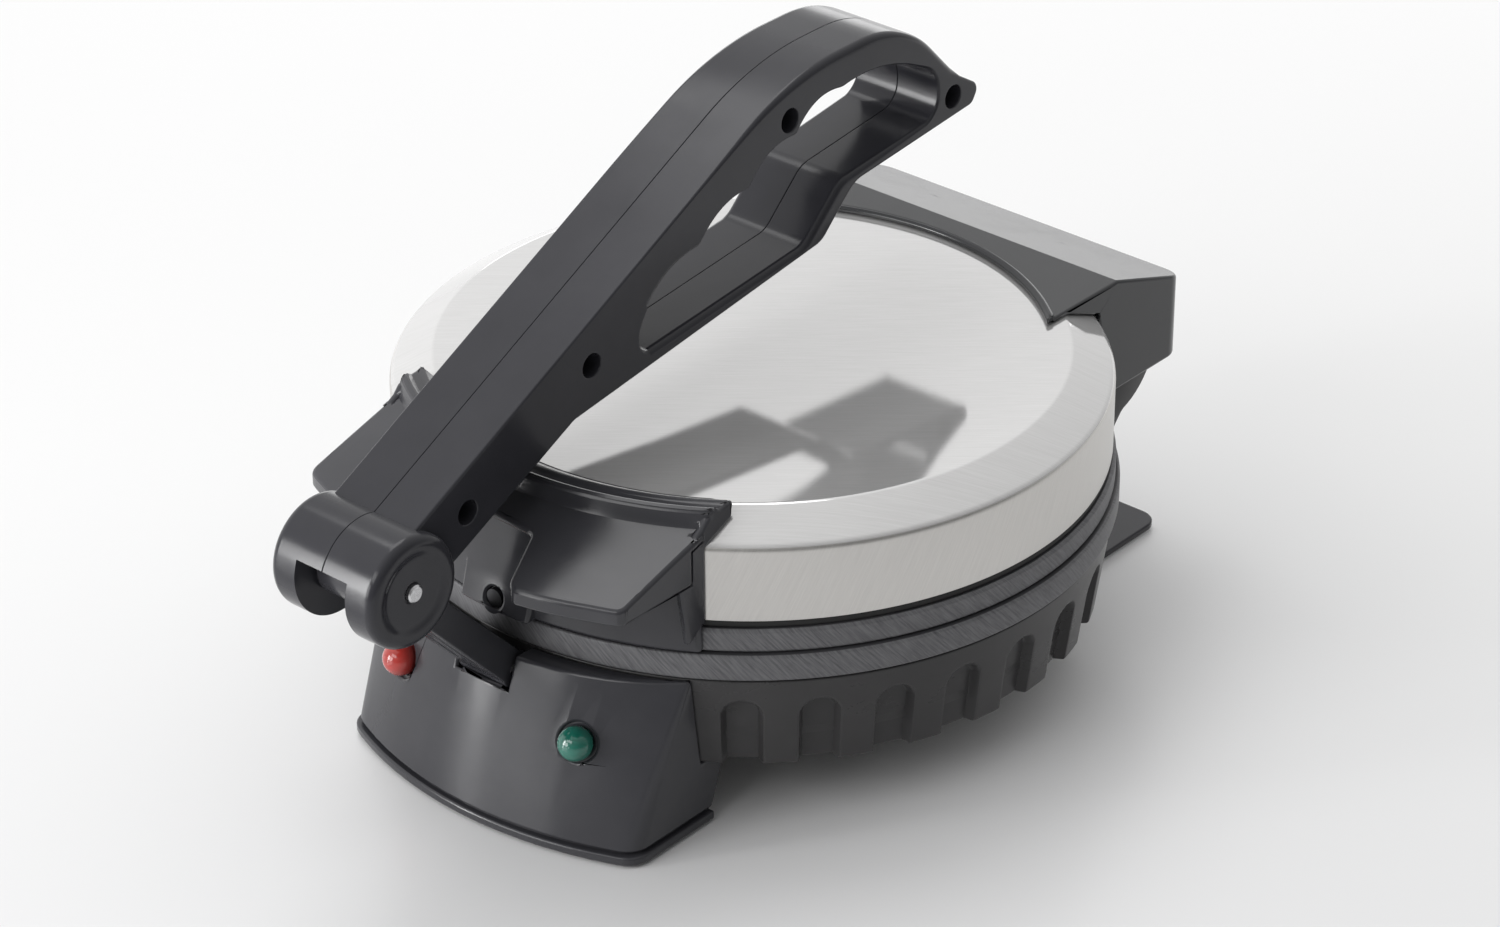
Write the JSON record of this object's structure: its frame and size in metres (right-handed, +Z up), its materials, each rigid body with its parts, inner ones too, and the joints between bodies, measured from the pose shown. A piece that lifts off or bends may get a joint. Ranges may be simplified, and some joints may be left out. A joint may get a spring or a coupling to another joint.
{
  "type": "electric roti maker",
  "caption": "Electric flatbread press with a fluted round base, a rear-hinged steel-topped lid, and a linked press handle with a grip opening.",
  "frame": {"origin": "on the surface it stands on, under the middle of the closed object's bounding box", "axes": "+X to the right seen from the handle's side, +Y from the handle towards the lid hinge, +Z up from the standing surface"},
  "size_m": [0.2086, 0.297, 0.1836],
  "materials": {
    "black_moulding": "satin",
    "rubber": "matte",
    "coated_plate": "satin",
    "stainless": "brushed",
    "plated_steel": "satin",
    "blackened_steel": "satin",
    "bright_sheet": "satin",
    "heater_sheath": "matte",
    "ceramic": "matte",
    "ceramic_fibre": "matte",
    "wire_sleeve": "matte",
    "lamp_holder": "satin",
    "glass": "gloss",
    "red_lens": "gloss",
    "green_lens": "gloss"
  },
  "bodies": {
    "base": {"base_shell": "black_moulding", "front_console": "black_moulding", "console_foot": "black_moulding", "rear_leg": "black_moulding", "rubber_feet": "rubber", "lower_plate": "coated_plate", "lower_heater": "heater_sheath", "heat_shield": "bright_sheet", "plate_screws": "plated_steel", "thermostat": "ceramic", "thermal_fuse": "ceramic", "terminal_block": "ceramic", "base_wires": "wire_sleeve", "console_screws": "plated_steel", "leg_screws": "plated_steel", "red_lens": "red_lens", "green_lens": "green_lens", "lamp_holders": "lamp_holder", "neon_lamps": "glass", "cord_bush": "rubber", "hinge_pins": "plated_steel", "link_pin": "plated_steel"},
    "lid": {"upper_plate": "coated_plate", "upper_heater": "heater_sheath", "lid_insulation": "ceramic_fibre", "lid_gasket": "rubber", "steel_lid": "stainless", "front_clip": "black_moulding", "clip_screws": "blackened_steel", "rear_cover": "black_moulding", "cover_screws": "plated_steel"},
    "link": {"link_arm": "black_moulding"},
    "handle": {"handle_left": "black_moulding", "handle_right": "black_moulding", "handle_pin": "plated_steel", "handle_screws": "blackened_steel"}
  },
  "joints": [
    {"name": "lid_hinge", "type": "hinge", "parent": "base", "child": "lid", "pos_m": [0, 0.1285, 0.063], "axis": [-1, 0, 0], "range_deg": [0, 90]},
    {"name": "link_swing", "type": "hinge", "parent": "base", "child": "link", "pos_m": [0, -0.086, 0.0442], "axis": [1, 0, 0], "range_deg": [0, 18]},
    {"name": "handle_flip", "type": "hinge", "parent": "link", "child": "handle", "pos_m": [0, -0.1325, 0.094], "axis": [1, 0, 0], "range_deg": [0, 138.6]}
  ],
  "couplings": [
    {"joint": "link_swing", "follows": "lid_hinge", "ratio": 0.2},
    {"joint": "handle_flip", "follows": "lid_hinge", "ratio": 1.54}
  ]
}
